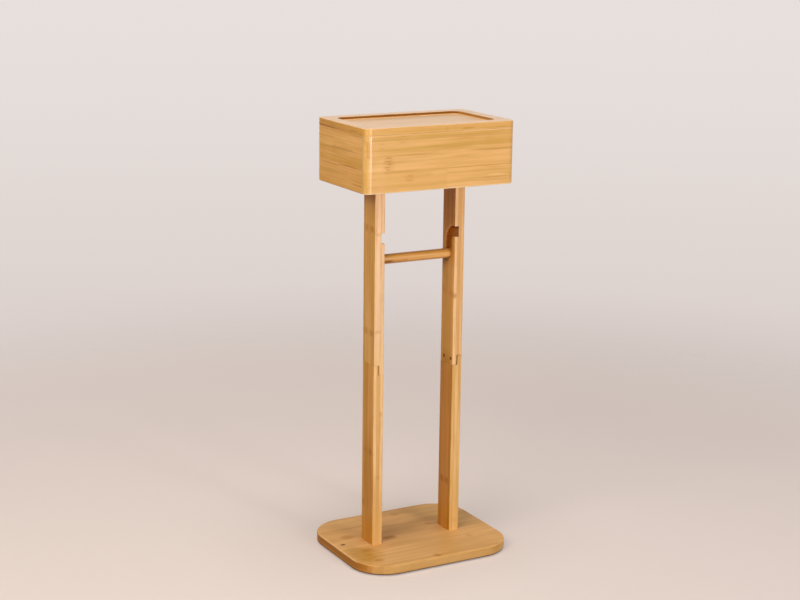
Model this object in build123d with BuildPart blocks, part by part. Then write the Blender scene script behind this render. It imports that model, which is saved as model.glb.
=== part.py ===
# A free-standing bamboo toilet roll stand: a rounded base plate, two jointed legs with
# J-shaped slots that hold a lift-out bar, and a box on top whose hinged lid is a shallow tray.
# Millimetres, +Z up. The front faces -Y, and the origin lies on the floor under the middle.
import os

from build123d import *

os.makedirs("parts", exist_ok=True)

# Base plate and its pads
base_width = 260.0
base_depth = 214.0
base_thickness = 14.0
base_corner_radius = 54.5
base_top_round = 1.5
base_bottom_round = 1.0
pad_diameter = 20.0
pad_thickness = 2.0
pad_inset = 38.0

# Legs
leg_gap = 120.0
leg_width = 16.4
leg_depth = 36.0
leg_edge_round = 0.7
lower_leg_shoulder_height = 270.0
lap_length = 15.0
upper_leg_length = 272.0
lap_side_gap = 1.1
lap_end_gap = 0.3

# Bar and its slots
bar_diameter = 15.0
bar_end_chamfer = 0.8
bar_end_clearance = 0.75
slot_width = 15.8
slot_depth = 6.0
slot_entry_drop = 78.3
slot_drop = 35.3
slot_bend_radius = 14.5
slot_rim_chamfer = 0.6
bar_seat_clearance = 0.3

# Box and lid
box_width = 250.0
box_depth = 155.0
box_wall_height = 83.75
board_thickness = 10.0
box_corner_radius = 10.0
box_bottom_round = 1.6
wall_top_round = 0.3
floor_thickness = 8.0
tongue_thickness = 4.0
tongue_length = 4.0
fit_clearance = 0.1
lid_thickness = 10.0
lid_gap = 0.25
lid_bottom_round = 0.2
lid_top_round = 0.9
tray_rim = 20.0
tray_corner_radius = 12.0
tray_depth = 4.5
tray_lip_round = 0.6
tray_floor_round = 2.0

# Hinges between the lid and the back board
hinge_end_inset = 50.0
hinge_length = 26.0
leaf_thickness = 1.0
leaf_width = 8.0
barrel_diameter = 4.5
barrel_stand_off = 0.2
middle_knuckle_length = 9.0
knuckle_gap = 0.2
pin_diameter = 2.0
pin_clearance = 0.05
pin_head_diameter = 3.2
pin_head_height = 0.6
mortise_clearance = 0.15
leaf_relief = 0.3
leaf_screw_inset = 4.2

# Screws: head diameter, shank diameter and length of each kind
screw_clearance = 0.1
screw_tip_length = 3.0
recess_width_share = 0.16
recess_span_share = 0.62
recess_depth_share = 0.5
lap_screw_head = 5.4
lap_screw_shank = 2.8
lap_screw_length = 13.0
lap_screw_height = 9.5
lap_screw_front = 12.5
lap_screw_back = 7.5
joint_screw_head = 8.0
joint_screw_shank = 4.0
base_screw_length = 40.0
floor_screw_length = 34.0
joint_screw_spacing = 23.0
hinge_screw_head = 3.8
hinge_screw_shank = 2.0
hinge_screw_length = 7.5
hinge_screw_spacing = 16.0
hinge_screw_tip = 1.5

# Wooden dowels hidden in the joints
leg_dowel_diameter = 8.0
foot_dowel_depth = 9.0
foot_dowel_length = 27.0
top_dowel_depth = 5.0
top_dowel_length = 22.0
corner_dowel_diameter = 5.0
corner_dowel_depth = 5.0
corner_dowel_length = 20.0
corner_dowel_inset = 3.6
corner_dowel_low = 22.0
corner_dowel_high = 62.0
dowel_end_gap = 0.5
dowel_end_chamfer = 0.6

# Heights and places worked out from the sizes above
base_top = pad_thickness + base_thickness
lap_bottom = base_top + lower_leg_shoulder_height
lap_top = lap_bottom + lap_length
box_bottom = lap_top + upper_leg_length
wall_top = box_bottom + box_wall_height
lid_bottom = wall_top + lid_gap
lid_top = lid_bottom + lid_thickness
leg_x = (leg_gap + leg_width) / 2
slot_entry_z = box_bottom - slot_entry_drop
seat_z = slot_entry_z - slot_drop
bar_z = seat_z - (slot_width - bar_diameter) / 2 + bar_seat_clearance
bar_length = leg_gap + 2 * (slot_depth - bar_end_clearance)
inner_width = box_width - 2 * board_thickness
inner_depth = box_depth - 2 * board_thickness
tongue_z = box_bottom + floor_thickness / 2
back_face = box_depth / 2
hinge_spacing = box_width - 2 * hinge_end_inset
pin_y = back_face + barrel_stand_off + barrel_diameter / 2
pin_z = wall_top + lid_gap / 2
joint_screw_y = (-joint_screw_spacing / 2, joint_screw_spacing / 2)
sides = {"left": -1, "right": 1}


def countersunk_screw(head, shank, length, tip):
    """A countersunk screw with a cross recess, its head up at the origin."""
    head_height = (head - shank) / 2
    with BuildPart() as screw:
        with BuildSketch(Plane.XZ):
            with BuildLine():
                Polyline(
                    (0, 0),
                    (head / 2, 0),
                    (shank / 2, -head_height),
                    (shank / 2, tip - length),
                    (0, -length),
                    close=True,
                )
            make_face()
        revolve(axis=Axis.Z)
        with BuildSketch(Plane.XY):
            Rectangle(recess_span_share * head, recess_width_share * head)
            Rectangle(recess_width_share * head, recess_span_share * head)
        extrude(amount=-recess_depth_share * head_height, mode=Mode.SUBTRACT)
    return screw.part


def screw_hole(head, shank, length):
    """The hole for a countersunk screw, with its clearance all round."""
    with BuildPart() as hole:
        with BuildSketch(Plane.XZ):
            with BuildLine():
                Polyline(
                    (0, screw_clearance),
                    (head / 2 + screw_clearance, screw_clearance),
                    (head / 2 + screw_clearance, 0),
                    (shank / 2 + screw_clearance, -(head - shank) / 2),
                    (shank / 2 + screw_clearance, -length - screw_clearance),
                    (0, -length - screw_clearance),
                    close=True,
                )
            make_face()
        revolve(axis=Axis.Z)
    return hole.part


def round_dowel(diameter, length):
    """A chamfered dowel that stands on the origin."""
    with BuildPart() as dowel:
        with BuildSketch():
            Circle(diameter / 2)
        extrude(amount=length)
        chamfer(dowel.edges(), dowel_end_chamfer)
    return dowel.part


def dowel_hole(diameter, length):
    """The hole for a dowel, with its clearance round it and at both ends."""
    with BuildPart() as hole:
        with BuildSketch(Plane.XY.offset(-dowel_end_gap)):
            Circle(diameter / 2 + fit_clearance)
        extrude(amount=length + 2 * dowel_end_gap)
    return hole.part


def board_outline(mode=Mode.ADD):
    """The plan of the box and the lid: a rectangle with rounded corners."""
    RectangleRounded(box_width, box_depth, box_corner_radius, mode=mode)


def slot_outline(width):
    """The slot that the bar drops into: in from the front, round a bend and down to its seat."""
    bend_start = (-slot_bend_radius, slot_entry_z)
    bend_centre = (-slot_bend_radius, slot_entry_z - slot_bend_radius)
    bend_end = (0, slot_entry_z - slot_bend_radius)
    with BuildSketch() as outline:
        with BuildLine():
            Line((-leg_depth, slot_entry_z), bend_start)
            CenterArc(bend_centre, slot_bend_radius, 0, 90)
            Line(bend_end, (0, seat_z))
        trace(line_width=width)
        with Locations((0, seat_z)):
            Circle(width / 2)
    return outline.sketch


def hinge_leaf(x, up):
    """One leaf with its knuckles: the box leaf lies below the seam, the lid leaf above it."""
    middle_span = middle_knuckle_length + 2 * knuckle_gap
    outer_span = hinge_length - middle_knuckle_length
    plate_y = (pin_y + back_face - leaf_width) / 2
    plate_z = pin_z + up * (lid_gap + leaf_thickness) / 2
    with BuildPart() as leaf:
        with Locations((x, plate_y, plate_z)):
            Box(hinge_length, pin_y - back_face + leaf_width, leaf_thickness)
        with Locations(Location((x, pin_y, pin_z), (0, 90, 0))):
            Cylinder(barrel_diameter / 2, hinge_length)
            Cylinder(pin_diameter / 2 + pin_clearance, hinge_length, mode=Mode.SUBTRACT)
        if up < 0:
            with Locations(Location((x, pin_y, pin_z), (0, 90, 0))):
                Cylinder(barrel_diameter / 2 + leaf_relief, middle_span, mode=Mode.SUBTRACT)
        else:
            for end in (-1, 1):
                with Locations(Location((x + end * hinge_length / 2, pin_y, pin_z), (0, 90, 0))):
                    Cylinder(barrel_diameter / 2 + leaf_relief, outer_span, mode=Mode.SUBTRACT)
        with Locations(*hinge_screw_planes[up]):
            add(hinge_hole, mode=Mode.SUBTRACT)
    return leaf.part


def finish(piece, name):
    """Labels one piece and writes it as its own file."""
    piece.label = name
    export_step(piece, f"parts/{name}.step")


# Places of the screws and dowels, each a plane whose +Z points out of the head or along the dowel
base_screw_planes = [
    Plane(origin=(side * leg_x, y, pad_thickness), z_dir=(0, 0, -1))
    for side in sides.values()
    for y in joint_screw_y
]
floor_screw_planes = [
    Plane(origin=(side * leg_x, y, box_bottom + floor_thickness), z_dir=(0, 0, 1))
    for side in sides.values()
    for y in joint_screw_y
]
lap_screw_planes = [
    Plane(origin=(side * leg_gap / 2, y, lap_bottom + lap_screw_height), z_dir=(-side, 0, 0))
    for side in sides.values()
    for y in (-lap_screw_front, lap_screw_back)
]
foot_dowel_planes = [
    Plane(origin=(side * leg_x, 0, base_top - foot_dowel_depth), z_dir=(0, 0, 1))
    for side in sides.values()
]
top_dowel_planes = [
    Plane(origin=(side * leg_x, 0, box_bottom + top_dowel_depth), z_dir=(0, 0, -1))
    for side in sides.values()
]
corner_dowel_planes = [
    Plane(
        origin=(
            side * (inner_width / 2 + corner_dowel_inset),
            end * (inner_depth / 2 + corner_dowel_depth),
            box_bottom + height,
        ),
        z_dir=(0, -end, 0),
    )
    for side in sides.values()
    for end in (-1, 1)
    for height in (corner_dowel_low, corner_dowel_high)
]
hinge_screw_planes = {
    up: [
        Plane(
            origin=(side * hinge_spacing / 2 + x, back_face - leaf_screw_inset, pin_z + up * lid_gap / 2),
            z_dir=(0, 0, -up),
        )
        for side in sides.values()
        for x in (-hinge_screw_spacing / 2, hinge_screw_spacing / 2)
    ]
    for up in (-1, 1)
}

base_hole = screw_hole(joint_screw_head, joint_screw_shank, base_screw_length)
floor_hole = screw_hole(joint_screw_head, joint_screw_shank, floor_screw_length)
lap_hole = screw_hole(lap_screw_head, lap_screw_shank, lap_screw_length)
foot_dowel_hole = dowel_hole(leg_dowel_diameter, foot_dowel_length)
top_dowel_hole = dowel_hole(leg_dowel_diameter, top_dowel_length)
hinge_hole = screw_hole(hinge_screw_head, hinge_screw_shank, hinge_screw_length)
corner_dowel_hole = dowel_hole(corner_dowel_diameter, corner_dowel_length)

# The shallow mortises that both hinges' leaves lie in, above and below the seam
with BuildPart() as leaf_mortises:
    with Locations((0, back_face, pin_z)):
        with GridLocations(hinge_spacing, 0, 2, 1):
            Box(
                hinge_length + 2 * mortise_clearance,
                2 * (leaf_width + mortise_clearance),
                lid_gap + 2 * leaf_thickness,
            )

# The groove that the box floor's tongue runs in, all round the walls
with BuildPart() as floor_groove:
    with Locations((0, 0, tongue_z)):
        Box(inner_width + 2 * tongue_length, inner_depth + 2 * tongue_length, tongue_thickness)

# Base plate
with BuildPart() as base_plate:
    with BuildSketch(Plane.XY.offset(pad_thickness)):
        RectangleRounded(base_width, base_depth, base_corner_radius)
    extrude(amount=base_thickness)
    fillet(base_plate.faces().sort_by(Axis.Z)[-1].edges(), base_top_round)
    fillet(base_plate.faces().sort_by(Axis.Z)[0].edges(), base_bottom_round)
    with Locations(*base_screw_planes):
        add(base_hole, mode=Mode.SUBTRACT)
    with Locations(*foot_dowel_planes):
        add(foot_dowel_hole, mode=Mode.SUBTRACT)
finish(base_plate.part, "base_plate")

with BuildPart() as base_pads:
    with BuildSketch():
        with GridLocations(base_width - 2 * pad_inset, base_depth - 2 * pad_inset, 2, 2):
            Circle(pad_diameter / 2)
    extrude(amount=pad_thickness)
finish(base_pads.part, "base_pads")

# Legs, each in two lengths joined by a half lap
for side_name, side in sides.items():
    inner_face = side * leg_gap / 2
    tongue_width = (leg_width - lap_side_gap) / 2

    with BuildPart() as lower_leg:
        with BuildSketch(Plane.XY.offset(base_top)):
            with Locations((side * leg_x, 0)):
                RectangleRounded(leg_width, leg_depth, leg_edge_round)
        extrude(amount=lap_top - lap_end_gap / 2 - base_top)
        with BuildSketch(Plane.XY.offset(lap_bottom - lap_end_gap / 2)):
            with Locations((inner_face + side * (leg_width - tongue_width) / 2, 0)):
                Rectangle(leg_width - tongue_width, leg_depth)
        extrude(amount=lap_length, mode=Mode.SUBTRACT)
        with Locations(*base_screw_planes):
            add(base_hole, mode=Mode.SUBTRACT)
        with Locations(*foot_dowel_planes):
            add(foot_dowel_hole, mode=Mode.SUBTRACT)
        with Locations(*lap_screw_planes):
            add(lap_hole, mode=Mode.SUBTRACT)
    finish(lower_leg.part, f"lower_leg_{side_name}")

    with BuildPart() as upper_leg:
        with BuildSketch(Plane.XY.offset(lap_bottom + lap_end_gap / 2)):
            with Locations((side * leg_x, 0)):
                RectangleRounded(leg_width, leg_depth, leg_edge_round)
        extrude(amount=box_bottom - lap_bottom - lap_end_gap / 2)
        with BuildSketch(Plane.XY.offset(lap_bottom)):
            with Locations((inner_face + side * (leg_width + tongue_width) / 2, 0)):
                Rectangle(leg_width - tongue_width, leg_depth)
        extrude(amount=lap_length + lap_end_gap / 2, mode=Mode.SUBTRACT)
        with BuildSketch(Plane.YZ.offset(inner_face)):
            add(slot_outline(slot_width))
        extrude(amount=side * slot_depth, mode=Mode.SUBTRACT)
        with BuildSketch(Plane.YZ.offset(inner_face)):
            add(slot_outline(slot_width + 2 * slot_rim_chamfer))
        with BuildSketch(Plane.YZ.offset(inner_face + side * slot_rim_chamfer)):
            add(slot_outline(slot_width))
        loft(mode=Mode.SUBTRACT)
        with Locations(*lap_screw_planes):
            add(lap_hole, mode=Mode.SUBTRACT)
        with Locations(*floor_screw_planes):
            add(floor_hole, mode=Mode.SUBTRACT)
        with Locations(*top_dowel_planes):
            add(top_dowel_hole, mode=Mode.SUBTRACT)
    finish(upper_leg.part, f"upper_leg_{side_name}")

# The bar that carries the roll
with BuildPart() as roller_bar:
    with BuildSketch(Plane.YZ.offset(-bar_length / 2)):
        with Locations((0, bar_z)):
            Circle(bar_diameter / 2)
    extrude(amount=bar_length)
    chamfer(roller_bar.edges(), bar_end_chamfer)
finish(roller_bar.part, "roller_bar")

# Box walls: the front and back boards run the full width and cap the side boards' ends
for end_name, end in {"front": -1, "back": 1}.items():
    with BuildPart() as wide_board:
        with BuildSketch(Plane.XY.offset(box_bottom)):
            board_outline()
            with Locations((0, end * (box_depth - board_thickness) / 2)):
                Rectangle(box_width, board_thickness, mode=Mode.INTERSECT)
        extrude(amount=box_wall_height)
        outward = Axis.Y if end > 0 else -Axis.Y
        fillet(wide_board.faces().sort_by(Axis.Z)[0].edges().sort_by(outward)[1:], box_bottom_round)
        fillet(wide_board.faces().sort_by(Axis.Z)[-1].edges().sort_by(outward)[1:], wall_top_round)
        add(floor_groove.part, mode=Mode.SUBTRACT)
        with Locations(*corner_dowel_planes):
            add(corner_dowel_hole, mode=Mode.SUBTRACT)
        add(leaf_mortises.part, mode=Mode.SUBTRACT)
        with Locations(*hinge_screw_planes[-1]):
            add(hinge_hole, mode=Mode.SUBTRACT)
    finish(wide_board.part, f"box_{end_name}_board")

for side_name, side in sides.items():
    with BuildPart() as side_board:
        with BuildSketch(Plane.XY.offset(box_bottom)):
            with Locations((side * (box_width - board_thickness) / 2, 0)):
                Rectangle(board_thickness, inner_depth)
            board_outline(Mode.INTERSECT)
        extrude(amount=box_wall_height)
        outward = Axis.X if side > 0 else -Axis.X
        fillet(side_board.faces().sort_by(Axis.Z)[0].edges().sort_by(outward)[-1], box_bottom_round)
        fillet(side_board.faces().sort_by(Axis.Z)[-1].edges().sort_by(outward)[-1], wall_top_round)
        add(floor_groove.part, mode=Mode.SUBTRACT)
        with Locations(*corner_dowel_planes):
            add(corner_dowel_hole, mode=Mode.SUBTRACT)
    finish(side_board.part, f"box_{side_name}_board")

with BuildPart() as box_floor:
    with Locations((0, 0, tongue_z)):
        Box(inner_width - 2 * fit_clearance, inner_depth - 2 * fit_clearance, floor_thickness)
        Box(
            inner_width + 2 * (tongue_length - fit_clearance),
            inner_depth + 2 * (tongue_length - fit_clearance),
            tongue_thickness - 2 * fit_clearance,
        )
    with Locations(*floor_screw_planes):
        add(floor_hole, mode=Mode.SUBTRACT)
    with Locations(*top_dowel_planes):
        add(top_dowel_hole, mode=Mode.SUBTRACT)
finish(box_floor.part, "box_floor")

# The lid, whose top is a shallow tray
with BuildPart() as tray_lid:
    with BuildSketch(Plane.XY.offset(lid_bottom)):
        board_outline()
    extrude(amount=lid_thickness)
    fillet(tray_lid.faces().sort_by(Axis.Z)[-1].edges(), lid_top_round)
    fillet(tray_lid.faces().sort_by(Axis.Z)[0].edges(), lid_bottom_round)
    with BuildSketch(Plane.XY.offset(lid_top)):
        RectangleRounded(box_width - 2 * tray_rim, box_depth - 2 * tray_rim, tray_corner_radius)
    extrude(amount=-tray_depth, mode=Mode.SUBTRACT)
    fillet(tray_lid.faces().filter_by(Plane.XY).group_by(Axis.Z)[-2].edges(), tray_floor_round)
    lip = tray_lid.faces().sort_by(Axis.Z)[-1].inner_wires().edges()
    fillet(lip, tray_lip_round)
    add(leaf_mortises.part, mode=Mode.SUBTRACT)
    with Locations(*hinge_screw_planes[1]):
        add(hinge_hole, mode=Mode.SUBTRACT)
finish(tray_lid.part, "tray_lid")

# Two butt hinges, each of two leaves and a pin
for side_name, side in sides.items():
    hinge_x = side * hinge_spacing / 2
    finish(hinge_leaf(hinge_x, -1), f"{side_name}_hinge_box_leaf")
    finish(hinge_leaf(hinge_x, 1), f"{side_name}_hinge_lid_leaf")
    with BuildPart() as hinge_pin:
        with Locations(Location((hinge_x, pin_y, pin_z), (0, 90, 0))):
            Cylinder(pin_diameter / 2, hinge_length + 2 * pin_clearance)
        for end in (-1, 1):
            head_x = hinge_x + end * (hinge_length / 2 + pin_clearance + pin_head_height / 2)
            with Locations(Location((head_x, pin_y, pin_z), (0, 90, 0))):
                Cylinder(pin_head_diameter / 2, pin_head_height)
    finish(hinge_pin.part, f"{side_name}_hinge_pin")

# Screws and dowels, each kind in one file
lap_screw = countersunk_screw(lap_screw_head, lap_screw_shank, lap_screw_length, screw_tip_length)
base_screw = countersunk_screw(joint_screw_head, joint_screw_shank, base_screw_length, screw_tip_length)
floor_screw = countersunk_screw(joint_screw_head, joint_screw_shank, floor_screw_length, screw_tip_length)
hinge_screw = countersunk_screw(hinge_screw_head, hinge_screw_shank, hinge_screw_length, hinge_screw_tip)
leg_foot_dowel = round_dowel(leg_dowel_diameter, foot_dowel_length)
leg_top_dowel = round_dowel(leg_dowel_diameter, top_dowel_length)
corner_dowel = round_dowel(corner_dowel_diameter, corner_dowel_length)

fastener_groups = {
    "lap_joint_screws": (lap_screw, lap_screw_planes),
    "base_screws": (base_screw, base_screw_planes),
    "box_floor_screws": (floor_screw, floor_screw_planes),
    "hinge_box_leaf_screws": (hinge_screw, hinge_screw_planes[-1]),
    "hinge_lid_leaf_screws": (hinge_screw, hinge_screw_planes[1]),
    "leg_foot_dowels": (leg_foot_dowel, foot_dowel_planes),
    "leg_top_dowels": (leg_top_dowel, top_dowel_planes),
    "box_corner_dowels": (corner_dowel, corner_dowel_planes),
}
for group_name, (fastener, planes) in fastener_groups.items():
    with BuildPart() as fasteners:
        with Locations(*planes):
            add(fastener)
    finish(fasteners.part, group_name)
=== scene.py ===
import math

import bpy
from mathutils import Matrix, Vector

# Bamboo toilet roll stand: base plate, jointed legs, lift-out bar and a box with a tray lid.
# Metres, Z up, the front faces -Y.

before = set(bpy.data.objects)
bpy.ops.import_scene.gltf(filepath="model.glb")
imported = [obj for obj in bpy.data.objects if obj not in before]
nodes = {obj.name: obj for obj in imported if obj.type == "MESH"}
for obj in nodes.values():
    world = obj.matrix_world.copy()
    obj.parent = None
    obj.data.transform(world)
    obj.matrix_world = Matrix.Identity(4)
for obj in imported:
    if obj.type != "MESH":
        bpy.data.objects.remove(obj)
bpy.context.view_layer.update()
print("frame loaded:", len(nodes), "nodes")


# Small helpers

def deselectAll():
    bpy.ops.object.select_all(action="DESELECT")


def setMaterial(piece, material):
    piece.data.materials.clear()
    piece.data.materials.append(material)


def aimAt(thing, target):
    direction = Vector(target) - thing.location
    thing.rotation_euler = direction.to_track_quat("-Z", "Y").to_euler()


# Node building: every material below is made from these

def newMaterial(name):
    material = bpy.data.materials.new(name)
    material.use_nodes = True
    tree = material.node_tree
    tree.nodes.clear()
    output = tree.nodes.new("ShaderNodeOutputMaterial")
    shader = tree.nodes.new("ShaderNodeBsdfPrincipled")
    tree.links.new(shader.outputs["BSDF"], output.inputs["Surface"])
    return material, tree, shader


def plug(tree, socket, value):
    if isinstance(value, bpy.types.NodeSocket):
        tree.links.new(value, socket)
    elif isinstance(value, tuple) and len(value) == 3 and socket.type == "RGBA":
        socket.default_value = (*value, 1.0)
    else:
        socket.default_value = value


def calc(tree, operation, first, second=None, third=None, clamp=False):
    made = tree.nodes.new("ShaderNodeMath")
    made.operation = operation
    made.use_clamp = clamp
    for socket, value in zip(made.inputs, (first, second, third)):
        if value is not None:
            plug(tree, socket, value)
    return made.outputs[0]


def vector(tree, x, y, z):
    made = tree.nodes.new("ShaderNodeCombineXYZ")
    for socket, value in zip(made.inputs, (x, y, z)):
        plug(tree, socket, value)
    return made.outputs[0]


def noise(tree, where, detail, roughness=0.5):
    made = tree.nodes.new("ShaderNodeTexNoise")
    tree.links.new(where, made.inputs["Vector"])
    made.inputs["Scale"].default_value = 1.0
    made.inputs["Detail"].default_value = detail
    made.inputs["Roughness"].default_value = roughness
    return made.outputs["Fac"]


def rampValue(tree, value, low, high, toLow=0.0, toHigh=1.0):
    made = tree.nodes.new("ShaderNodeMapRange")
    made.interpolation_type = "SMOOTHSTEP"
    made.clamp = True
    plug(tree, made.inputs["Value"], value)
    ends = {"From Min": low, "From Max": high, "To Min": toLow, "To Max": toHigh}
    for name, number in ends.items():
        made.inputs[name].default_value = number
    return made.outputs["Result"]


# The colour sockets of a Mix node have no names of their own, only numbers
mixSockets = {"factor": 0, "first": 6, "second": 7, "result": 2}


def blendColor(tree, factor, first, second):
    made = tree.nodes.new("ShaderNodeMix")
    made.data_type = "RGBA"
    plug(tree, made.inputs[mixSockets["factor"]], factor)
    plug(tree, made.inputs[mixSockets["first"]], first)
    plug(tree, made.inputs[mixSockets["second"]], second)
    return made.outputs[mixSockets["result"]]


# The object's own coordinates, drawn together so that a pattern gets fine
def finePlace(tree, scale):
    coords = tree.nodes.new("ShaderNodeTexCoord")
    mapping = tree.nodes.new("ShaderNodeMapping")
    mapping.inputs["Scale"].default_value = (scale,) * 3
    tree.links.new(coords.outputs["Object"], mapping.inputs["Vector"])
    return mapping.outputs["Vector"]


# A number that is 1 inside a block of space and fades out at its sides
def insideBlock(tree, axes, low, high, soft):
    masks = []
    for socket, least, most in zip(axes, low, high):
        if least is not None:
            masks.append(rampValue(tree, socket, least - soft, least + soft))
        if most is not None:
            masks.append(rampValue(tree, socket, most + soft, most - soft))
    inside = 1.0
    for mask in masks:
        inside = calc(tree, "MULTIPLY", inside, mask)
    return inside


# Bamboo: strips stacked along one axis, layers along another, cane fibres along the third

caneLook = {
    "pale": (0.84, 0.450, 0.130),
    "deep": (0.68, 0.350, 0.045),
    "line": (0.42, 0.160, 0.012),
    "brown": (0.25, 0.085, 0.010),
    "axes": "XZY",           # grain, strips, layers
    "stripWidth": 0.022,
    "stripStart": 0.0,
    "layerWidth": 0.030,
    "layerStart": -0.015,
    "seed": 1.0,
    "stripSpread": 0.35,
    "cloudSpread": 1.1,
    "bandSpread": 1.2,
    "streakDark": 0.30,
    "streakPale": 0.12,
    "fibreDark": 0.22,
    "glueDark": 0.22,
    "layerGlueDark": 0.10,
    "nodePitch": 0.31,
    "nodeDark": 0.45,
    "nodePale": 0.12,
    "roughness": 0.33,
    "roughnessSpread": 0.10,
    "specular": 0.32,
    "coat": 0.10,
    "coatRoughness": 0.16,
    "bump": 0.10,
    "bumpDepth": 0.0004,
    "faceTones": {},         # pale and deep of faces that look along X, Y or Z, where they differ
    "longEnds": False,       # the end faces show long streaks instead of end grain
    "marks": (),
    "blocks": (),
}

# What all the cane has in common: each pattern's scale along and across it, detail and roughness
grainOf = {
    "clouds": (8.0, 55.0, 2.0, 0.5),
    "bands": (4.5, 190.0, 2.0, 0.5),
    "streaks": (13.0, 430.0, 3.0, 0.6),
    "fibres": (60.0, 2300.0, 2.0, 0.6),
    "ripple": (50.0, 430.0, 2.0, 0.6),
}
caneBuild = {
    "stripShift": 3.0,                # how far the grain of two strips may lie apart, in metres
    "stripsBelow": 60.0,              # strips are counted from this many below the piece
    "glueEdges": (0.0005, 0.0001),    # metres from the joint where the glue line starts and is full
    "nodeShift": 7.0,
    "nodeDarkEdges": (0.0050, 0.0020),
    "nodePaleEdges": (0.0140, 0.0040),
    "nodeBreaks": (0.46, 0.66),
    "darkStreaks": (0.50, 0.74),
    "paleStreaks": (0.46, 0.28),
    "darkFibres": (0.55, 0.80),
    "endDraw": 0.03,                  # what is left of the strips' spread on long end faces
    "fibreHeight": 0.35,
    "streakHeight": 0.5,
    "glueDepth": 0.6,
    "faceTurn": (0.62, 0.86),         # how squarely a face looks along an axis before it counts
    "markEdges": (1.5, 0.1),
    "markBreaks": (0.46, 0.60),
}


def stackPlace(tree, socket, start, width):
    lowest = start - caneBuild["stripsBelow"] * width
    return calc(tree, "DIVIDE", calc(tree, "SUBTRACT", socket, lowest), width)


def fromMiddle(tree, value):
    return calc(tree, "SUBTRACT", value, 0.5)


def glueLine(tree, place, width):
    gap = calc(tree, "ABSOLUTE", fromMiddle(tree, calc(tree, "FRACT", place)))
    start, full = (0.5 - edge / width for edge in caneBuild["glueEdges"])
    return rampValue(tree, gap, start, full)


# A number that is 1 on the faces that look along an axis
def faceMask(tree, coords, letter):
    facing = tree.nodes.new("ShaderNodeSeparateXYZ")
    tree.links.new(coords.outputs["Normal"], facing.inputs[0])
    squareness = calc(tree, "ABSOLUTE", facing.outputs["XYZ".index(letter)])
    return rampValue(tree, squareness, *caneBuild["faceTurn"])


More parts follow.
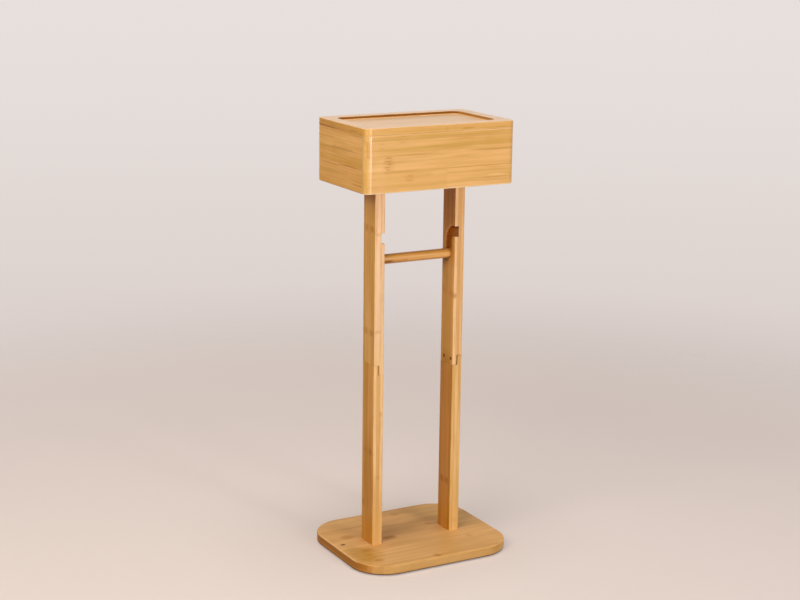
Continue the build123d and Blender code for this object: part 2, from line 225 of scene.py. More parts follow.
def bamboo(name, piece):
    look = {**caneLook, **piece}
    material, tree, shader = newMaterial(name)
    coords = tree.nodes.new("ShaderNodeTexCoord")
    split = tree.nodes.new("ShaderNodeSeparateXYZ")
    tree.links.new(coords.outputs["Object"], split.inputs[0])
    axes = [split.outputs[i] for i in range(3)]
    along, over, deep = (axes["XYZ".index(letter)] for letter in look["axes"])
    if look["longEnds"]:
        ends = faceMask(tree, coords, look["axes"][0])
        over = calc(tree, "MULTIPLY", over,
                    rampValue(tree, ends, 0.0, 1.0, 1.0, caneBuild["endDraw"]))

    # Each strip has its own number, and from it its own tone and shift
    stripPlace = stackPlace(tree, over, look["stripStart"], look["stripWidth"])
    layerPlace = stackPlace(tree, deep, look["layerStart"], look["layerWidth"])
    white = tree.nodes.new("ShaderNodeTexWhiteNoise")
    white.noise_dimensions = "3D"
    stripNumber, layerNumber = calc(tree, "FLOOR", stripPlace), calc(tree, "FLOOR", layerPlace)
    tree.links.new(vector(tree, stripNumber, layerNumber, look["seed"]), white.inputs["Vector"])
    randoms = tree.nodes.new("ShaderNodeSeparateColor")
    tree.links.new(white.outputs["Color"], randoms.inputs[0])
    toneRandom, shiftRandom, nodeRandom = (randoms.outputs[i] for i in range(3))

    # The grain: slow clouds, bands, streaks and fine fibres, all drawn out along the cane
    shift = calc(tree, "MULTIPLY", shiftRandom, caneBuild["stripShift"])
    shifted = calc(tree, "ADD", along, shift)
    grain = {}
    for pattern, (lengthwise, crosswise, detail, roughness) in grainOf.items():
        where = vector(tree, *(calc(tree, "MULTIPLY", place, scale) for place, scale in
                               ((shifted, lengthwise), (over, crosswise), (deep, crosswise))))
        grain[pattern] = noise(tree, where, detail, roughness)
    streaks, fibres, ripple = grain["streaks"], grain["fibres"], grain["ripple"]

    # Joints of the cane: a broken darker band across each strip
    pitch = look["nodePitch"]
    nodePlace = calc(tree, "ADD", calc(tree, "DIVIDE", along, pitch),
                     calc(tree, "MULTIPLY", nodeRandom, caneBuild["nodeShift"]))
    nodeGap = calc(tree, "ABSOLUTE", fromMiddle(tree, calc(tree, "FRACT", nodePlace)))
    nodeGap = calc(tree, "MULTIPLY", nodeGap, pitch)
    nodeDark = calc(tree, "MULTIPLY", rampValue(tree, nodeGap, *caneBuild["nodeDarkEdges"]),
                    rampValue(tree, ripple, *caneBuild["nodeBreaks"]))
    nodePale = rampValue(tree, nodeGap, *caneBuild["nodePaleEdges"])
    glue = glueLine(tree, stripPlace, look["stripWidth"])
    if look["longEnds"]:
        glue = calc(tree, "MULTIPLY", glue, faceMask(tree, coords, look["axes"][2]))
    layerGlue = glueLine(tree, layerPlace, look["layerWidth"])

    tone = calc(tree, "MULTIPLY_ADD", fromMiddle(tree, toneRandom), look["stripSpread"], 0.5)
    tone = calc(tree, "MULTIPLY_ADD", fromMiddle(tree, grain["clouds"]), look["cloudSpread"], tone)
    tone = calc(tree, "MULTIPLY_ADD", fromMiddle(tree, grain["bands"]), look["bandSpread"], tone,
                clamp=True)
    hues = {hue: look[hue] for hue in ("pale", "deep", "line", "brown")}
    for letter, faceTone in look["faceTones"].items():
        mask = faceMask(tree, coords, letter)
        for hue, faceHue in zip(("pale", "deep"), faceTone):
            hues[hue] = blendColor(tree, mask, hues[hue], faceHue)
    color = blendColor(tree, tone, hues["pale"], hues["deep"])
    layersOfColor = (
        (rampValue(tree, streaks, *caneBuild["darkStreaks"]), look["streakDark"], "line"),
        (rampValue(tree, streaks, *caneBuild["paleStreaks"]), look["streakPale"], "pale"),
        (rampValue(tree, fibres, *caneBuild["darkFibres"]), look["fibreDark"], "line"),
        (nodePale, look["nodePale"], "pale"),
        (nodeDark, look["nodeDark"], "brown"),
        (glue, look["glueDark"], "line"),
        (layerGlue, look["layerGlueDark"], "line"),
    )
    for mask, strength, hue in layersOfColor:
        color = blendColor(tree, calc(tree, "MULTIPLY", mask, strength), color, hues[hue])
    for mark in look["marks"]:
        color = caneMark(tree, color, axes, ripple, mark)
    for patch in look["blocks"]:
        color = caneBlock(tree, color, axes, coords, patch)
    tree.links.new(color, shader.inputs["Base Color"])

    spread = look["roughnessSpread"]
    tree.links.new(calc(tree, "MULTIPLY_ADD", streaks, spread, look["roughness"] - spread / 2),
                   shader.inputs["Roughness"])
    shader.inputs["Specular IOR Level"].default_value = look["specular"]
    shader.inputs["Coat Weight"].default_value = look["coat"]
    shader.inputs["Coat Roughness"].default_value = look["coatRoughness"]
    height = calc(tree, "MULTIPLY", streaks, caneBuild["streakHeight"])
    height = calc(tree, "MULTIPLY_ADD", fibres, caneBuild["fibreHeight"], height)
    height = calc(tree, "MULTIPLY_ADD", glue, -caneBuild["glueDepth"], height)
    bump = tree.nodes.new("ShaderNodeBump")
    bump.inputs["Strength"].default_value = look["bump"]
    bump.inputs["Distance"].default_value = look["bumpDepth"]
    tree.links.new(height, bump.inputs["Height"])
    tree.links.new(bump.outputs["Normal"], shader.inputs["Normal"])
    return material


# A stain or knot, or a spot of painted light or shade: an ellipsoid with an uneven edge; a broken
# one is drawn out in short dashes
def caneMark(tree, color, axes, ripple, mark):
    terms = []
    for socket, middle, half in zip(axes, mark["at"], mark["half"]):
        if half is not None:
            away = calc(tree, "DIVIDE", calc(tree, "SUBTRACT", socket, middle), half)
            terms.append(calc(tree, "MULTIPLY", away, away))
    distance = terms[0]
    for term in terms[1:]:
        distance = calc(tree, "ADD", distance, term)
    distance = calc(tree, "MULTIPLY_ADD", fromMiddle(tree, ripple), mark["uneven"], distance)
    mask = rampValue(tree, distance, *caneBuild["markEdges"])
    if mark["broken"]:
        mask = calc(tree, "MULTIPLY", mask, rampValue(tree, ripple, *caneBuild["markBreaks"]))
    return blendColor(tree, calc(tree, "MULTIPLY", mask, mark["strength"]), color, mark["color"])


# A block of space with its own tone or with painted light or shade; "X", "Y" or "Z" keeps it to the
# faces that look that way
def caneBlock(tree, color, axes, coords, patch):
    mask = insideBlock(tree, axes, patch["low"], patch["high"], patch["soft"])
    if patch["faces"]:
        mask = calc(tree, "MULTIPLY", mask, faceMask(tree, coords, patch["faces"]))
    return blendColor(tree, calc(tree, "MULTIPLY", mask, patch["strength"]), color, patch["color"])


# Planes of the stand that the marks lie on
lidFront = -0.0775
lidLeft = -0.1250
recessSideX, recessSideY = 0.1060, 0.0585    # just past the walls of the tray's recess
legFront = -0.0180
leftOuter = -0.0764                          # the left leg's outer side
rightInner = 0.0600                          # the right leg's inner side

# Tones of stains, edges, painted shade and painted highlights, from dark to pale
ember = (0.09, 0.022, 0.002)
lapDeepShade = (0.20, 0.040, 0.0)
darkWood = (0.27, 0.075, 0.008)
rosewood = (0.44, 0.155, 0.006)
olive = (0.46, 0.215, 0.018)
tan = (0.47, 0.195, 0.022)
lapLightShade = (0.66, 0.340, 0.090)
peach = (0.88, 0.560, 0.260)
cream = (0.98, 0.760, 0.460)


def stainAndShading(at, half, strength, color, broken=False, uneven=2.0):
    return {"at": at, "half": half, "strength": strength, "color": color, "broken": broken,
            "uneven": uneven}


def block(low, high, strength, color, faces=None, soft=0.0006):
    return {"low": low, "high": high, "strength": strength, "color": color, "faces": faces,
            "soft": soft}


# Short thin dashes on the front board, each at its own x and z with its own half length
dashHalfHeight = 0.0010


def dashes(strength, *places):
    return tuple(stainAndShading((x, 0, z), (halfLength, None, dashHalfHeight), strength, tan, uneven=2.2)
                 for x, z, halfLength in places)


# The box: front, back, left side, right side and floor
frontLook = {
    "axes": "XZY", "stripWidth": 0.0220, "stripStart": 0.604, "seed": 3.0, "nodeDark": 0.0,
    "pale": (0.750, 0.422, 0.144), "deep": (0.570, 0.310, 0.055), "stripSpread": 0.5,
    "cloudSpread": 1.7, "bandSpread": 2.0, "streakDark": 0.29, "streakPale": 0.25,
    "coat": 0.7, "coatRoughness": 0.20, "specular": 0.15,
    "marks": (
        *dashes(0.80, (-0.0868, 0.6240, 0.0052), (-0.0885, 0.6192, 0.0068),
                (-0.0861, 0.6150, 0.0036)),
        *dashes(0.70, (-0.0902, 0.6104, 0.0058), (-0.0879, 0.6071, 0.0040),
                (-0.0915, 0.6026, 0.0030)),
        *dashes(0.30, (-0.0985, 0.6440, 0.0060), (-0.0992, 0.6375, 0.0050)),
        *dashes(0.30, (-0.0660, 0.6535, 0.0090), (-0.0700, 0.6490, 0.0060),
                (-0.0640, 0.6450, 0.0050)),
        *dashes(0.50, (-0.0512, 0.5962, 0.0040), (-0.0545, 0.5902, 0.0028)),
        stainAndShading((-0.0870, 0, 0.6130), (0.0100, None, 0.0150), 0.20, tan),
        stainAndShading((-0.0530, 0, 0.5925), (0.0080, None, 0.0060), 0.30, tan),
        # a faint painted sheen near the lower left of the front
        stainAndShading((-0.1010, 0, 0.6000), (0.0110, None, 0.0240), 0.12, peach),
        stainAndShading((0.0900, 0, 0.6275), (0.0420, None, 0.0016), 0.60, olive),
        stainAndShading((0.0650, 0, 0.6036), (0.0800, None, 0.0010), 0.45, olive),
        stainAndShading((-0.0680, 0, 0.6032), (0.0260, None, 0.0013), 0.40, olive),
        stainAndShading((-0.0400, 0, 0.6268), (0.0380, None, 0.0011), 0.35, olive),
        stainAndShading((0.0950, 0, 0.5855), (0.0350, None, 0.0014), 0.45, olive),
        stainAndShading((0.0350, 0, 0.6505), (0.0400, None, 0.0012), 0.35, olive),
        stainAndShading((-0.0050, 0, 0.5975), (0.0150, None, 0.0035), 0.35, peach),
        stainAndShading((0.0940, 0, 0.5890), (0.0180, None, 0.0015), 0.40, peach),
    ),
    "blocks": (
        # the rounded end at the left, from the top down, and its outer edge
        block((None, None, 0.6490), (-0.1170, None, None), 0.25, (0.90, 0.58, 0.24), soft=0.0020),
        block((-0.1215, None, 0.6250), (-0.1160, None, 0.6480), 0.40, (0.56, 0.25, 0.04),
              soft=0.0020),
        block((None, None, None), (-0.1170, None, 0.6240), 0.25, (0.80, 0.50, 0.17), soft=0.0020),
        block((None, None, None), (-0.1225, None, 0.6480), 0.40, (0.86, 0.56, 0.20), soft=0.0010),
        # a painted highlight line beside it, the lower boards' left half, and painted shade on the
        # rounded right end
        block((-0.1172, None, None), (-0.1150, None, None), 0.08, cream, soft=0.0005),
        block((None, None, None), (0.0100, None, 0.6040), 0.35, (0.60, 0.320, 0.060), soft=0.0040),
        block((0.1246, None, None), (None, None, None), 0.85, (0.30, 0.11, 0.01), soft=0.0004),
        # painted highlights along the bottom edge and under the lid, which also lighten the seam's
        # shade
        block((None, None, None), (None, None, 0.5746), 0.8, cream, soft=0.0007),
        block((-0.1150, None, 0.6555), (None, None, 0.6570), 0.30, peach, "Y", soft=0.0003),
        block((0.0350, None, 0.6555), (None, None, 0.6570), 0.30, cream, "Y", soft=0.0003),
    ),
}
backLook = {"axes": "XZY", "stripWidth": 0.0220, "stripStart": 0.604, "seed": 13.0}
sideLook = {
    "axes": "YZX", "stripWidth": 0.0230, "stripStart": 0.607, "seed": 8.0, "nodeDark": 0.0,
    "pale": (0.91, 0.530, 0.180), "deep": (0.71, 0.380, 0.065), "specular": 0.15, "coat": 0.0,
    "cloudSpread": 2.2, "bandSpread": 2.4, "streakDark": 0.38, "streakPale": 0.25,
    "marks": (
        stainAndShading((0, 0.0300, 0.6440), (None, 0.0060, 0.0060), 0.35, tan, broken=True),
        stainAndShading((0, 0.0180, 0.6300), (None, 0.0060, 0.0060), 0.30, tan, broken=True),
        stainAndShading((0, -0.0110, 0.6300), (None, 0.0420, 0.0015), 0.55, olive),
        stainAndShading((0, 0.0350, 0.6045), (None, 0.0400, 0.0013), 0.55, rosewood),
        stainAndShading((0, -0.0300, 0.6070), (None, 0.0400, 0.0014), 0.50, rosewood),
        stainAndShading((0, -0.0550, 0.5834), (None, 0.0190, 0.0016), 0.55, rosewood),
        stainAndShading((0, 0.0100, 0.5860), (None, 0.0350, 0.0010), 0.35, rosewood),
        stainAndShading((0, -0.0100, 0.6010), (None, 0.0280, 0.0012), 0.45, peach),
        # painted shade along the seam under the lid
        stainAndShading((0, 0.0480, 0.6567), (None, 0.0450, 0.0006), 0.70, (0.42, 0.150, 0.008), uneven=0.5),
    ),
    "blocks": (
        # painted shade along the bottom edge
        block((None, None, None), (None, None, 0.5742), 0.6, darkWood),
        block((None, None, 0.6530), (None, 0.0300, None), 0.35, (0.56, 0.260, 0.025), soft=0.0030),
        block((None, None, None), (None, None, 0.6060), 0.35, (0.68, 0.34, 0.050), soft=0.0010),
    ),
}
farSideLook = {"axes": "YZX", "stripWidth": 0.0230, "stripStart": 0.607, "seed": 18.0}
floorBoardLook = {"axes": "XYZ", "stripWidth": 0.0190, "seed": 5.0}

# The lid: paler and pinker on top, partly its own tone and partly painted sheen, with a dark edge
# round the tray's recess
lidLook = {
    "axes": "XYZ", "stripWidth": 0.0210, "stripStart": 0.004, "seed": 6.0, "longEnds": True,
    "pale": (0.91, 0.615, 0.390), "deep": (0.73, 0.470, 0.255), "nodeDark": 0.15,
    "streakDark": 0.20, "coat": 0.1, "coatRoughness": 0.20, "specular": 0.12,
    "faceTones": {
        "Y": ((0.760, 0.430, 0.158), (0.580, 0.318, 0.066)),
        "X": ((0.800, 0.440, 0.090), (0.560, 0.270, 0.020)),
    },
    "marks": (
        stainAndShading((0.0450, lidFront, 0.6600), (0.0120, 0.004, 0.0016), 0.55, olive),
        stainAndShading((0.0900, lidFront, 0.6590), (0.0300, 0.004, 0.0012), 0.35, olive),
        stainAndShading((-0.1000, 0.0560, 0.6646), (0.0060, 0.0040, 0.0020), 0.95, ember, uneven=0.0),
        stainAndShading((lidLeft, 0.0250, 0.6612), (0.0030, 0.0110, 0.0016), 0.40, olive),
        stainAndShading((lidLeft, -0.0400, 0.6600), (0.0030, 0.0160, 0.0015), 0.40, rosewood),
        stainAndShading((lidLeft, 0.0600, 0.6635), (0.0030, 0.0130, 0.0012), 0.40, rosewood),
        # painted shade along the seam at the lid's lower edge
        stainAndShading((lidLeft, 0.0480, 0.6578), (0.0012, 0.0450, 0.0012), 0.80, (0.40, 0.130, 0.010),
              uneven=0.5),
        stainAndShading((-0.0150, recessSideY, 0.6655), (0.0140, 0.0030, 0.0025), 0.50, ember),
        stainAndShading((0.0300, recessSideY, 0.6660), (0.0030, 0.0030, 0.0015), 0.70, ember),
    ),
    "blocks": (
        block((-recessSideX, -recessSideY, 0.6628), (recessSideX, recessSideY, 0.6650), 0.70,
              (0.66, 0.34, 0.090), soft=0.0003),
        # a painted highlight line down the rounded front-left corner
        block((-0.1172, None, 0.6580), (-0.1150, -0.0700, None), 0.30, cream, soft=0.0005),
        block((-recessSideX, -recessSideY, 0.6636), (recessSideX, recessSideY, 0.6667), 0.95,
              (0.24, 0.075, 0.0), soft=0.0004),
        block((0.1035, -recessSideY, 0.6630), (recessSideX, recessSideY, 0.6667), 0.80,
              (0.44, 0.20, 0.025), soft=0.0004),
        block((None, None, None), (-0.1160, -0.0680, None), 0.45, (0.74, 0.43, 0.130), soft=0.0015),
        # a painted highlight along the front's lower edge, which lightens the seam's shade
        block((-0.1150, None, None), (None, -0.0760, 0.6578), 0.25, peach, soft=0.0004),
    ),
}

# The base plate: the first stain is a small pit in its left half
baseLook = {
    "axes": "XYZ", "stripWidth": 0.0205, "stripStart": 0.002, "seed": 2.0, "longEnds": True,
    "pale": (0.81, 0.465, 0.178), "deep": (0.65, 0.340, 0.108), "nodeDark": 0.10,
    "cloudSpread": 2.0, "bandSpread": 1.4, "streakDark": 0.22, "fibreDark": 0.12,
    "roughness": 0.36, "coat": 0.0, "specular": 0.04,
    "faceTones": {
        "Y": ((0.63, 0.365, 0.135), (0.53, 0.285, 0.085)),
        "X": ((0.57, 0.255, 0.060), (0.44, 0.175, 0.038)),
    },
    "marks": (
        stainAndShading((-0.1156, 0.0042, 0), (0.0044, 0.0032, None), 1.0, (0.16, 0.060, 0.010), uneven=0.0),
        stainAndShading((-0.0069, -0.0980, 0), (0.0060, 0.0055, None), 0.60, rosewood, uneven=3.5),
        stainAndShading((-0.0927, -0.0315, 0), (0.0110, 0.0075, None), 0.70, rosewood, uneven=4.0),
        stainAndShading((-0.0900, -0.0500, 0), (0.0160, 0.0160, None), 0.35, olive),
        stainAndShading((-0.1100, -0.0450, 0), (0.0200, 0.0360, None), 0.65, olive),
        # painted light between the legs, which lifts the shadow of the left leg
        stainAndShading((0.0080, 0.0660, 0), (0.0380, 0.0230, None), 0.50, (1.00, 0.560, 0.210), uneven=0.5),
        stainAndShading((-0.0374, -0.0014, 0), (0.0130, 0.0070, None), 0.70, rosewood, uneven=4.0),
        # painted warm shade to the right of the left leg
        stainAndShading((-0.0250, 0.0250, 0), (0.0220, 0.0220, None), 0.12, (0.56, 0.200, 0.015)),
        stainAndShading((0.0470, 0.0250, 0), (0.0080, 0.0045, None), 0.35, rosewood),
        stainAndShading((-0.0950, -0.0770, 0), (0.0080, 0.0070, None), 0.50, rosewood, uneven=4.0),
        stainAndShading((-0.0950, 0.0300, 0), (0.0120, 0.0070, None), 0.45, rosewood, uneven=4.0),
        stainAndShading((0.0180, 0.0850, 0), (0.0080, 0.0060, None), 0.25, rosewood),
        stainAndShading((0.0780, -0.0490, 0), (0.0060, 0.0070, None), 0.22, rosewood),
    ),
    "blocks": (
        # a painted highlight on the round-over at the left, and painted contact shadow along the
        # lower edge
        block((None, None, 0.0146), (-0.1278, None, None), 0.6, peach, soft=0.0005),
        block((None, None, None), (None, None, 0.0036), 0.9, (0.07, 0.020, 0.003)),
    ),
}

# The legs: edge grain on the fronts, darker slots, and the cane's joints as in the photograph
legLook = {
    "axes": "ZYX", "stripWidth": 0.0120, "stripStart": 0.0,
    "layerWidth": 0.00547, "layerStart": 0.060, "layerGlueDark": 0.30,
    "pale": (0.88, 0.470, 0.130), "deep": (0.63, 0.320, 0.040), "nodeDark": 0.0,
    "stripSpread": 0.9, "cloudSpread": 1.8, "bandSpread": 2.2, "streakDark": 0.45,
    "coat": 0.0, "specular": 0.13,
}

# Places in the right leg, from one end to the other along x, y and z; the left leg mirrors them
slotPlace = {"x": (0.0604, 0.0670), "y": (-0.0176, 0.0172), "z": (0.440, 0.520)}
# the tone of the painted shade inside the slots
slotShadeLook = {"strength": 0.85, "color": (0.41, 0.105, 0.002)}
lapPlace = {"x": (0.0673, 0.0691), "y": (-0.0190, 0.0190), "z": (0.2855, 0.3015)}


def legBlock(side, place, strength, color, **more):
    lowX, highX = sorted(side * x for x in place["x"])
    (lowY, highY), (lowZ, highZ) = place["y"], place["z"]
    return block((lowX, lowY, lowZ), (highX, highY, highZ), strength, color, **more)


# Painted shade inside a leg's slot
def slotShade(side):
    return legBlock(side, slotPlace, slotShadeLook["strength"], slotShadeLook["color"])


# The gap of the lap joint between the two lengths of a leg, with painted shade inside it: deep on
# the right leg, light on the left
def lapGapShade(side, strength, color):
    return legBlock(side, lapPlace, strength, color, soft=0.0003)


# The rim of the right slot's outer bend, which is paler: small stains along an arc
rim = {"bend": 0.0233, "middle": (-0.0145, 0.4802), "turn": 0.25, "stains": 6,
       "half": (0.0020, 0.0027, 0.0027), "strength": 0.55, "color": (0.92, 0.500, 0.240)}


def slotRim():
    middleY, middleZ = rim["middle"]
    stains = []
    for count in range(rim["stains"]):
        angle = count * rim["turn"]
        at = (rightInner, middleY + rim["bend"] * math.cos(angle),
              middleZ + rim["bend"] * math.sin(angle))
        stains.append(stainAndShading(at, rim["half"], rim["strength"], rim["color"], uneven=0.0))
    return stains


# A joint of the cane across a leg's side: a faint band with darker blotches.
# Each has its y, its height above the joint, half its size and its share of the strength.
legNodeParts = (
    (0.0, 0.0, (0.004, 0.030, 0.0060), 0.35),
    (-0.0090, 0.0, (0.004, 0.0045, 0.0050), 1.0),
    (0.0080, 0.0010, (0.004, 0.0040, 0.0060), 0.7),
)


def legNode(x, z, strength):
    return [stainAndShading((x, y, z + above), half, share * strength, rosewood, uneven=3.0)
            for y, above, half, share in legNodeParts]


upperLeftLook = {
    **legLook, "seed": 4.0,
    "pale": (0.93, 0.545, 0.190), "deep": (0.69, 0.380, 0.078),
    "faceTones": {"Y": ((0.92, 0.650, 0.410), (0.76, 0.455, 0.225))},
    "marks": (
        *legNode(leftOuter, 0.5080, 0.55),
        *legNode(leftOuter, 0.3500, 0.45),
        stainAndShading((leftOuter, 0.0180, 0.5100), (0.004, 0.0040, 0.1000), 0.30, rosewood),
        stainAndShading((leftOuter, -0.0020, 0.4700), (0.004, 0.0025, 0.0900), 0.30, rosewood),
        stainAndShading((-0.0700, legFront, 0.3530), (0.006, 0.004, 0.0030), 0.30, tan),
        stainAndShading((-0.0700, legFront, 0.5010), (0.006, 0.004, 0.0030), 0.25, tan),
    ),
    "blocks": (
        slotShade(-1), lapGapShade(-1, 0.7, lapLightShade),
        block((None, None, None), (None, None, 0.3350), 0.5, (0.78, 0.490, 0.200), "Y",
              soft=0.0300),
        block((None, None, None), (-0.0758, None, 0.3150), 0.35, (0.72, 0.370, 0.055), "X",
              soft=0.0200),
        # painted shadow of the box at the top of the outer side
        block((None, None, 0.5500), (-0.0680, None, None), 0.45, darkWood, "X", soft=0.0080),
    ),
}
upperRightLook = {
    **legLook, "seed": 24.0,
    "faceTones": {"Y": ((0.86, 0.555, 0.290), (0.68, 0.375, 0.140))},
    "marks": (
        *slotRim(),
        *legNode(rightInner, 0.3980, 0.55),
        stainAndShading((rightInner, -0.0160, 0.3950), (0.006, 0.0050, 0.0045), 0.55, rosewood),
        stainAndShading((rightInner, 0.0140, 0.4030), (0.004, 0.0040, 0.0070), 0.40, rosewood),
        # painted shadow of the bar's end on the inner side
        stainAndShading((rightInner, 0.0080, 0.4485), (0.003, 0.0100, 0.0034), 0.80, darkWood, uneven=0.0),
    ),
    "blocks": (
        # painted shade from the box at the top of the inner side
        block((None, None, 0.5000), (0.0602, None, None), 0.60, (0.46, 0.135, 0.008), "X",
              soft=0.0200),
        # painted light on the inner side below the bar
        block((None, None, 0.3000), (0.0602, None, 0.4450), 0.50, (1.00, 0.600, 0.230), "X",
              soft=0.0150),
        slotShade(1),
        # painted shade under the slot's roof and along its edge by the front face
        block((0.0604, -0.0185, 0.4985), (0.0668, 0.0180, 0.5030), 0.60, (0.14, 0.030, 0.001)),
        block((0.0655, -0.0185, 0.4865), (0.0670, -0.0162, 0.5030), 0.60, (0.14, 0.030, 0.0),
              soft=0.0003),
        lapGapShade(1, 0.95, lapDeepShade),
    ),
}
lowerLeftLook = {
    **legLook, "seed": 7.0,
    "pale": (0.86, 0.460, 0.130), "deep": (0.64, 0.315, 0.042),
    "faceTones": {"Y": ((0.84, 0.540, 0.260), (0.65, 0.365, 0.125))},
    "marks": (
        *legNode(leftOuter, 0.1630, 0.35),
        stainAndShading((leftOuter, -0.0076, 0.1630), (0.005, 0.0040, 0.0055), 0.60, rosewood),
        stainAndShading((leftOuter, -0.0076, 0.1500), (0.005, 0.0012, 0.0400), 0.45, rosewood),
        stainAndShading((leftOuter, 0.0140, 0.0770), (0.005, 0.0060, 0.0060), 0.50, rosewood),
        stainAndShading((leftOuter, -0.0020, 0.0800), (0.005, 0.0030, 0.0120), 0.40, rosewood),
        stainAndShading((-0.0640, legFront, 0.2240), (0.003, 0.004, 0.0040), 0.35, tan),
        stainAndShading((-0.0680, legFront, 0.1240), (0.004, 0.004, 0.0035), 0.30, tan),
    ),
    "blocks": (
        lapGapShade(-1, 0.7, lapLightShade),
        # painted shade, darker towards the foot on the outer side
        block((None, None, None), (-0.0758, None, 0.1700), 0.90, (0.53, 0.205, 0.005), "X",
              soft=0.0800),
        block((None, None, None), (None, None, 0.1100), 0.70, (0.62, 0.340, 0.100), "Y",
              soft=0.0400),
    ),
}
lowerRightLook = {
    **legLook, "seed": 27.0,
    "pale": (0.78, 0.370, 0.082), "deep": (0.55, 0.230, 0.017),
    "faceTones": {"Y": ((0.80, 0.500, 0.215), (0.61, 0.340, 0.100))},
    "marks": (
        *legNode(rightInner, 0.0960, 0.40),
        stainAndShading((rightInner, 0.0066, 0.0960), (0.004, 0.0050, 0.0055), 0.55, rosewood),
        stainAndShading((rightInner, -0.0057, 0.0960), (0.004, 0.0040, 0.0060), 0.55, rosewood),
        stainAndShading((rightInner, -0.0140, 0.0290), (0.004, 0.0030, 0.0080), 0.50, rosewood),
        stainAndShading((0.0680, legFront, 0.0330), (0.006, 0.004, 0.0040), 0.30, tan),
        stainAndShading((0.0730, legFront, 0.3010), (0.0050, 0.004, 0.0008), 0.60, rosewood, uneven=0.5),
        stainAndShading((rightInner, 0.0074, 0.2955), (0.003, 0.0062, 0.0062), 0.55, peach, uneven=0.0),
        stainAndShading((rightInner, -0.0125, 0.2955), (0.003, 0.0062, 0.0062), 0.55, peach, uneven=0.0),
    ),
    "blocks": (
        lapGapShade(1, 0.95, lapDeepShade),
        block((None, None, None), (None, None, 0.1100), 0.55, (0.62, 0.350, 0.100), "Y",
              soft=0.0400),
    ),
}

# The bar: painted shade above and below and on its lower left part, a painted highlight band along
# it, and a dark spot underneath near its left end
barLook = {
    "axes": "XZY", "stripWidth": 0.0050, "stripStart": 0.4593, "seed": 9.0, "nodeDark": 0.0,
    "pale": (0.75, 0.400, 0.135), "deep": (0.56, 0.270, 0.055), "stripSpread": 0.8,
    "streakDark": 0.45,
    "marks": (stainAndShading((-0.0480, -0.0069, 0.4562), (0.0095, 0.0050, 0.0024), 1.0, (0.10, 0.016, 0.0),
                    uneven=1.0),),
    "blocks": (
        block((None, None, 0.4650), (None, None, None), 0.55, (0.36, 0.140, 0.012), soft=0.0012),
        block((None, None, 0.4596), (None, None, 0.4622), 0.20, (0.92, 0.540, 0.230), soft=0.0010),
        block((None, None, None), (-0.0150, None, 0.4588), 0.45, (0.44, 0.180, 0.024), soft=0.0012),
        block((None, None, None), (None, None, 0.4558), 0.35, (0.48, 0.220, 0.045), soft=0.0010),
    ),
}
dowelLook = {"axes": "ZXY", "stripWidth": 0.0300, "stripStart": 0.0, "seed": 12.0}

boxFront = bamboo("boxFrontBamboo", frontLook)
boxSide = bamboo("boxSideBamboo", sideLook)
dowel = bamboo("dowelBamboo", dowelLook)
woodOf = {
    "base_plate": bamboo("baseBamboo", baseLook),
    "lower_leg_left": bamboo("lowerLeftBamboo", lowerLeftLook),
    "lower_leg_right": bamboo("lowerRightBamboo", lowerRightLook),
    "upper_leg_left": bamboo("upperLeftBamboo", upperLeftLook),
    "upper_leg_right": bamboo("upperRightBamboo", upperRightLook),
    "roller_bar": bamboo("barBamboo", barLook),
    "box_front_board": boxFront,
    "box_back_board": bamboo("boxBackBamboo", backLook),
    "box_left_board": boxSide,
    "box_right_board": bamboo("boxFarSideBamboo", farSideLook),
    "box_floor": bamboo("boxFloorBamboo", floorBoardLook),
    "tray_lid": bamboo("lidBamboo", lidLook),
    "leg_foot_dowels": dowel,
    "leg_top_dowels": dowel,
    "box_corner_dowels": dowel,
}
for nodeName, wood in woodOf.items():
    setMaterial(nodes[nodeName], wood)
print("bamboo made")


# Metal and foam: bronzed screws, nickel hinges and dark pads

metalLook = {
    "grainScale": 900.0, "grainDetail": 3.0,
    "wornEdges": (0.3, 0.7),          # the grain from which a worn tone starts and is full
    "glossEdges": (0.2, 0.8), "smoother": 0.06, "rougher": 0.08,
    "bump": 0.15, "bumpDepth": 0.0001,
}


def metal(name, piece):
    look = {**metalLook, **piece}
    material, tree, shader = newMaterial(name)
    grain = noise(tree, finePlace(tree, look["grainScale"]), look["grainDetail"])
    worn = rampValue(tree, grain, *look["wornEdges"])
    tree.links.new(blendColor(tree, worn, look["color"], look["worn"]), shader.inputs["Base Color"])
    gloss = rampValue(tree, grain, *look["glossEdges"], look["roughness"] - look["smoother"],
                      look["roughness"] + look["rougher"])
    tree.links.new(gloss, shader.inputs["Roughness"])
    shader.inputs["Metallic"].default_value = look["metallic"]
    shader.inputs["Specular IOR Level"].default_value = look["specular"]
    bump = tree.nodes.new("ShaderNodeBump")
    bump.inputs["Strength"].default_value = look["bump"]
    bump.inputs["Distance"].default_value = look["bumpDepth"]
    tree.links.new(grain, bump.inputs["Height"])
    tree.links.new(bump.outputs["Normal"], shader.inputs["Normal"])
    return material


bronzeLook = {"color": (0.30, 0.070, 0.010), "worn": (0.18, 0.036, 0.005), "roughness": 0.60,
              "metallic": 0.0, "specular": 0.12}
nickelLook = {"color": (0.50, 0.48, 0.45), "worn": (0.36, 0.34, 0.32), "roughness": 0.34,
              "metallic": 1.0, "specular": 0.5}
bronze = metal("bronzedSteel", bronzeLook)
nickel = metal("nickel", nickelLook)
for nodeName in ("lap_joint_screws", "base_screws", "box_floor_screws"):
    setMaterial(nodes[nodeName], bronze)
for nodeName in nodes:
    if "hinge" in nodeName:
        setMaterial(nodes[nodeName], nickel)

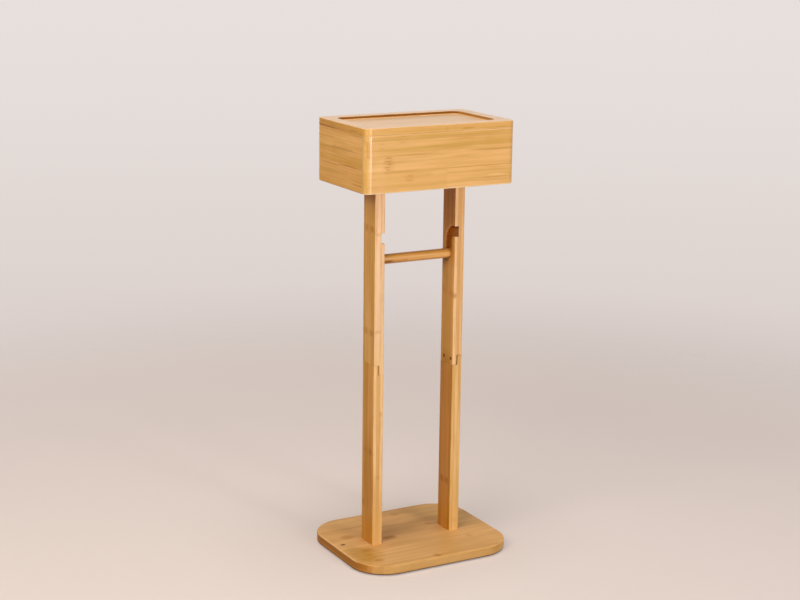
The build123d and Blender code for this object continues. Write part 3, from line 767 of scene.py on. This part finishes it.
foamLook = {"color": (0.020, 0.018, 0.017), "cell": (0.050, 0.046, 0.043), "roughness": 0.85,
            "grainScale": 1400.0, "grainDetail": 3.0}
foam, tree, shader = newMaterial("padFoam")
cells = noise(tree, finePlace(tree, foamLook["grainScale"]), foamLook["grainDetail"])
tree.links.new(blendColor(tree, cells, foamLook["color"], foamLook["cell"]),
               shader.inputs["Base Color"])
shader.inputs["Roughness"].default_value = foamLook["roughness"]
setMaterial(nodes["base_pads"], foam)
print("metal and foam made")


# Room: a plain pale floor that fades into a pale world, and soft studio light

room = {
    "floorSize": 12.0,
    "floorFade": (0.55, 1.9),            # where the floor starts to fade and is gone
    "floorSeen": (0.56, 0.485, 0.455),
    "floorGlow": (0.26, 0.225, 0.210),
    "floorBounce": (0.34, 0.23, 0.17),
    "floorRoughness": 0.9,
    "floorSpecular": 0.1,
    "worldLow": (0.67, 0.585, 0.555),
    "worldMiddle": (0.80, 0.740, 0.715),
    "worldHigh": (1.0, 0.97, 0.95),
    "lowToMiddle": (-0.35, -0.06),       # how far up the tones change, 1 is straight up
    "middleToHigh": (-0.02, 0.45),
    "fill": (0.03, 0.028, 0.026),
}
black = (0.0, 0.0, 0.0)


# A number that is 1 where the room is looked at, straight or by way of metal and glass
def lookedAt(tree):
    path = tree.nodes.new("ShaderNodeLightPath")
    seen = path.outputs["Is Camera Ray"]
    for ray in ("Is Glossy Ray", "Is Transmission Ray"):
        seen = calc(tree, "MAXIMUM", seen, path.outputs[ray])
    return seen


deselectAll()
bpy.ops.mesh.primitive_plane_add(size=room["floorSize"], location=(0, 0, 0))
floor = bpy.context.active_object
floor.name = "floor"
paint, tree, shader = newMaterial("floorPaint")
output = tree.nodes["Material Output"]
seen = lookedAt(tree)
tree.links.new(blendColor(tree, seen, room["floorBounce"], room["floorSeen"]),
               shader.inputs["Base Color"])
shader.inputs["Roughness"].default_value = room["floorRoughness"]
shader.inputs["Specular IOR Level"].default_value = room["floorSpecular"]
tree.links.new(blendColor(tree, seen, black, room["floorGlow"]), shader.inputs["Emission Color"])
shader.inputs["Emission Strength"].default_value = 1.0
coords = tree.nodes.new("ShaderNodeTexCoord")
reach = tree.nodes.new("ShaderNodeVectorMath")
reach.operation = "LENGTH"
tree.links.new(coords.outputs["Object"], reach.inputs[0])
clear = tree.nodes.new("ShaderNodeBsdfTransparent")
fade = tree.nodes.new("ShaderNodeMixShader")
faded = rampValue(tree, reach.outputs["Value"], *room["floorFade"])
tree.links.new(calc(tree, "MULTIPLY", faded, seen), fade.inputs[0])
tree.links.new(shader.outputs["BSDF"], fade.inputs[1])
tree.links.new(clear.outputs["BSDF"], fade.inputs[2])
tree.links.new(fade.outputs[0], output.inputs["Surface"])
setMaterial(floor, paint)

world = bpy.data.worlds.new("studio")
bpy.context.scene.world = world
world.use_nodes = True
tree = world.node_tree
tree.nodes.clear()
output = tree.nodes.new("ShaderNodeOutputWorld")
background = tree.nodes.new("ShaderNodeBackground")
tree.links.new(background.outputs[0], output.inputs["Surface"])
coords = tree.nodes.new("ShaderNodeTexCoord")
split = tree.nodes.new("ShaderNodeSeparateXYZ")
tree.links.new(coords.outputs["Generated"], split.inputs[0])
upward = split.outputs["Z"]
middle = rampValue(tree, upward, *room["lowToMiddle"])
high = rampValue(tree, upward, *room["middleToHigh"])
worldColor = blendColor(tree, middle, room["worldLow"], room["worldMiddle"])
worldColor = blendColor(tree, high, worldColor, room["worldHigh"])
tree.links.new(blendColor(tree, lookedAt(tree), room["fill"], worldColor),
               background.inputs["Color"])
background.inputs["Strength"].default_value = 1.0

# Soft lamps about the stand: turn goes from the front towards the right, rise upwards, in degrees
lampAim = (0.0, 0.0, 0.42)
lamps = {
    "frontLamp": {"turn": 13.0, "rise": 5.0, "reach": 3.2, "wide": 0.5, "tall": 1.2,
                  "power": 50.0, "color": (1.0, 1.0, 1.0)},
    "fillLamp": {"turn": -12.0, "rise": 5.0, "reach": 3.2, "wide": 1.6, "tall": 1.2,
                 "power": 20.0, "color": (1.0, 1.0, 1.0)},
    "leftLamp": {"turn": -64.0, "rise": 32.0, "reach": 2.0, "wide": 1.4, "tall": 1.2,
                 "power": 25.0, "color": (1.0, 0.88, 0.68)},
    "backLamp": {"turn": 190.0, "rise": 10.0, "reach": 3.0, "wide": 1.2, "tall": 1.2,
                 "power": 12.0, "color": (1.0, 0.95, 0.90)},
    "topLamp": {"turn": 0.0, "rise": 85.0, "reach": 4.0, "wide": 2.0, "tall": 2.0,
                "power": 80.0, "color": (1.0, 1.0, 1.0)},
}
for lampName, lamp in lamps.items():
    turn, rise = math.radians(lamp["turn"]), math.radians(lamp["rise"])
    away = Vector((math.cos(rise) * math.sin(turn), -math.cos(rise) * math.cos(turn),
                   math.sin(rise)))
    deselectAll()
    bpy.ops.object.light_add(type="AREA", location=Vector(lampAim) + lamp["reach"] * away)
    light = bpy.context.active_object
    light.name = lampName
    light.data.shape = "RECTANGLE"
    light.data.size = lamp["wide"]
    light.data.size_y = lamp["tall"]
    light.data.energy = lamp["power"]
    light.data.color = lamp["color"]
    aimAt(light, lampAim)
print("room made")


# Camera at the photograph's place

view = {
    "at": (-1.23318, -2.18334, 0.98468),
    "yaw": -28.993,
    "pitch": -13.319,
    "roll": 0.7256,
    "lens": 76.538,
    "sensor": 36.0,
    "clipEnd": 50.0,
}
deselectAll()
bpy.ops.object.camera_add(location=view["at"])
camera = bpy.context.active_object
camera.data.lens = view["lens"]
camera.data.sensor_width = view["sensor"]
camera.data.clip_end = view["clipEnd"]
turn = (Matrix.Rotation(math.radians(view["yaw"]), 3, "Z")
        @ Matrix.Rotation(math.radians(90.0 + view["pitch"]), 3, "X")
        @ Matrix.Rotation(math.radians(view["roll"]), 3, "Z"))
camera.rotation_euler = turn.to_euler()
bpy.context.scene.camera = camera
bpy.context.scene.view_settings.view_transform = "Standard"
print("camera set")
